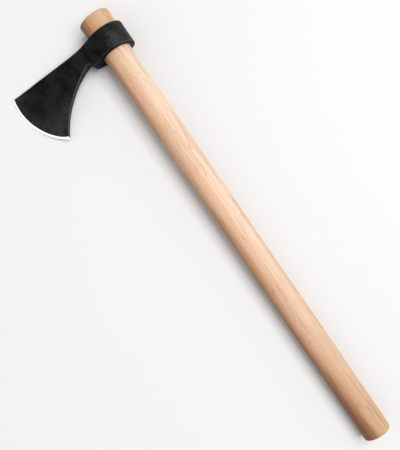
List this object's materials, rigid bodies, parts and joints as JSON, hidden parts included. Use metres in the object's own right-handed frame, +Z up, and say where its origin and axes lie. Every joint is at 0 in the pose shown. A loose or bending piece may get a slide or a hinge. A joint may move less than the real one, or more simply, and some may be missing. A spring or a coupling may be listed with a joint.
{
  "type": "tomahawk",
  "caption": "Tomahawk: flared forged steel blade with a round eye, wedged by friction and a set screw on a straight hickory haft that tapers from the head.",
  "frame": {"origin": "centre of the bounding box, on the level surface that the tool lies on", "axes": "+X along the haft towards the butt, tipped 0.9 degrees down; blade towards -Y, rolled 9 degrees down about the haft so that cutting edge, lower cheek and butt touch Z = 0; +Z up through the upper cheek"},
  "size_m": [0.5592, 0.1518, 0.0423],
  "materials": {
    "hickory": "sanded pale hickory with a thin oil, fine straight grain",
    "forged_steel": "matt black forge coating, bare bright ground edge",
    "screw_steel": "black oxide"
  },
  "bodies": {
    "head": {"head": "forged_steel"},
    "haft": {"haft": "hickory"},
    "set_screw": {"set_screw": "screw_steel"}
  },
  "joints": [
    {"name": "haft_slide", "type": "slide", "parent": "head", "child": "haft", "axis": [-0.9999, 0, 0.0157], "range_m": [0, 0.54]},
    {"name": "screw_slide", "type": "slide", "parent": "head", "child": "set_screw", "axis": [-0.0155, 0.1565, -0.9876], "range_m": [0, 0.0065]}
  ]
}
